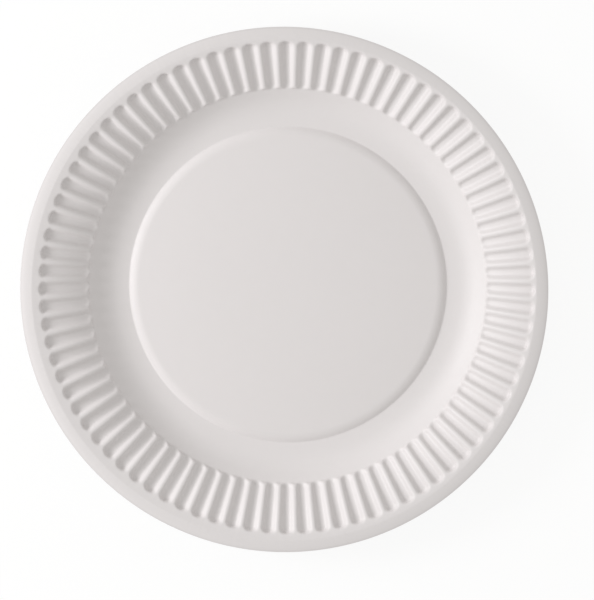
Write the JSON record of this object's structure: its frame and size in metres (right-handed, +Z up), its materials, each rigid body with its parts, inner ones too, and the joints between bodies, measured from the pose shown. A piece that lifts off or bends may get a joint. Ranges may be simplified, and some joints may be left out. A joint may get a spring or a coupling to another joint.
{
  "type": "paper plate",
  "caption": "Round disposable paper plate with a raised flat centre, a fluted rising wall and a rolled lip, for serving light food.",
  "frame": {"origin": "centre of the round cut edge, at the height of the table that the foot ring rests on", "axes": "+Z up out of the dish, +X along the groove of one flute"},
  "size_m": [0.23, 0.23, 0.0192],
  "materials": {
    "paper": "matte uncoated white board"
  },
  "bodies": {
    "root": {"plate": "paper"}
  },
  "joints": []
}
